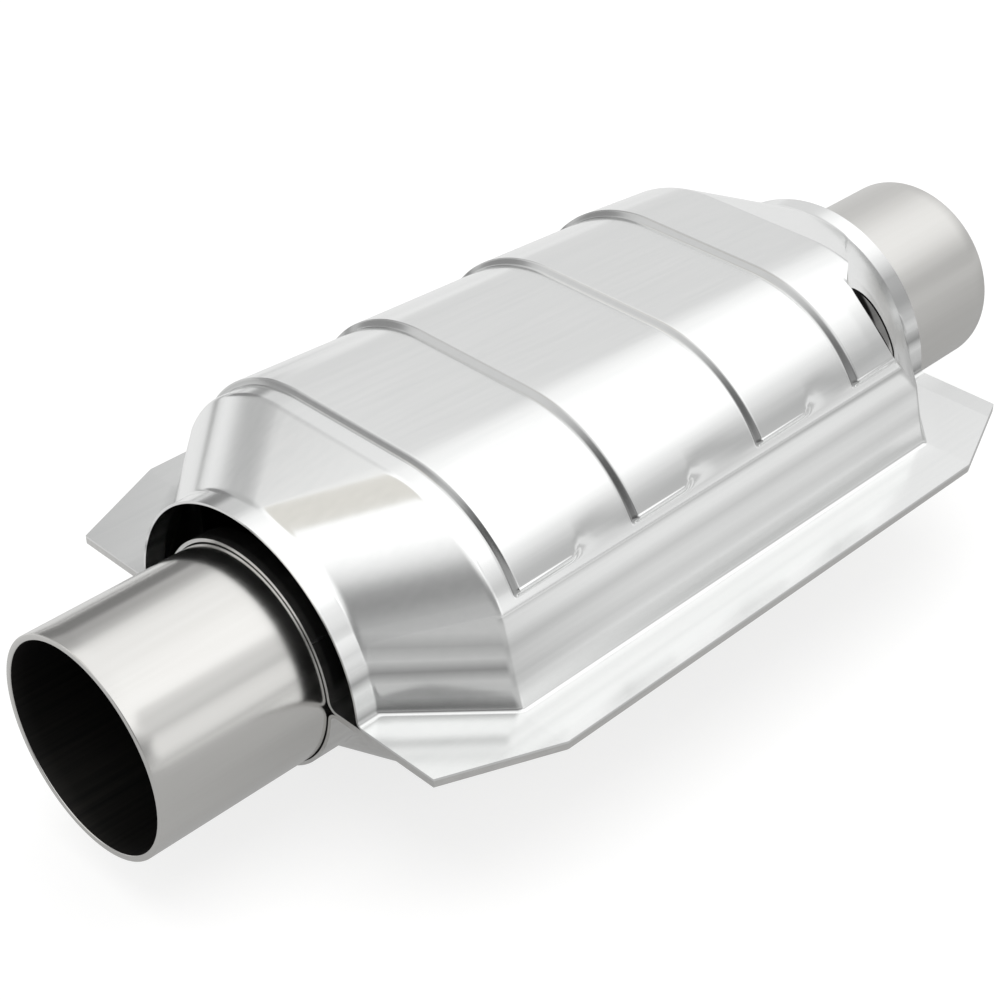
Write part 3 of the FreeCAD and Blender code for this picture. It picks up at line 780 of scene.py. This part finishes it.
washcoat, tree, shader, tone = matt_finish("washcoated_honeycomb", beige, beige_shade, 0.85, 240.0)
spot = parts_of(tree, own_place(tree))
facing = parts_of(tree, node(tree, "ShaderNodeNewGeometry").outputs["True Normal"])

# How far a point is from the nearest cell wall along Y and along Z, in pitches.
across = [maths(tree, "PINGPONG", maths(tree, "MULTIPLY", spot[axis], 1000 / cell_pitch), 0.5)
          for axis in "YZ"]
# The open cells on the bricks' end faces are painted near black: painted shade for the deep channels.
in_cell = maths(tree, "GREATER_THAN", maths(tree, "MINIMUM", *across), cell_wall)
on_end = maths(tree, "GREATER_THAN", maths(tree, "ABSOLUTE", facing["X"]), 0.5)
tree.links.new(blend(tree, maths(tree, "MULTIPLY", in_cell, on_end), tone, painted_cell_shade),
               shader.inputs["Base Color"])
for brick in ("front_monolith", "rear_monolith"):
    finish(frame["nodes"][brick], washcoat)


# ---------------------------------------------------------------------------------------------
# Mats and seals: grey-white intumescent fibre mat with mica flakes, wrapped round each brick,
# and a flat ring of knitted steel wire at each end of it that keeps the gas off its edge.

fibre, fibre_shade, mica = (0.66, 0.64, 0.58), (0.50, 0.48, 0.43), (0.30, 0.22, 0.13)
wire, wire_shade = (0.46, 0.46, 0.45), (0.20, 0.20, 0.20)
mat_fibre, tree, shader, tone = matt_finish("intumescent_mat", fibre, fibre_shade, 0.95, 420.0)
flake_reach = 0.22
flakes = node(tree, "ShaderNodeTexVoronoi", s_Scale=700.0)
tree.links.new(own_place(tree), flakes.inputs["Vector"])
flake = maths(tree, "LESS_THAN", flakes.outputs["Distance"], flake_reach)
tree.links.new(blend(tree, flake, tone, mica), shader.inputs["Base Color"])
knit, tree, shader = matt_finish("knitted_wire", wire, wire_shade, 0.42, 900.0)[:3]
shader.inputs["Metallic"].default_value = 1.0
loops = [node(tree, "ShaderNodeTexWave", bands_direction=direction, s_Scale=500.0, s_Distortion=2.0)
         for direction in ("X", "DIAGONAL")]
for wave in loops:
    tree.links.new(own_place(tree), wave.inputs["Vector"])
stitches = maths(tree, "MULTIPLY", *(wave.outputs["Fac"] for wave in loops))
bump_on(tree, shader, stitches, 0.8, 0.4)
for end in ("front", "rear"):
    finish(frame["nodes"][end + "_mat"], mat_fibre)
    for side in ("outer", "inner"):
        finish(frame["nodes"]["%s_%s_seal" % (end, side)], knit)
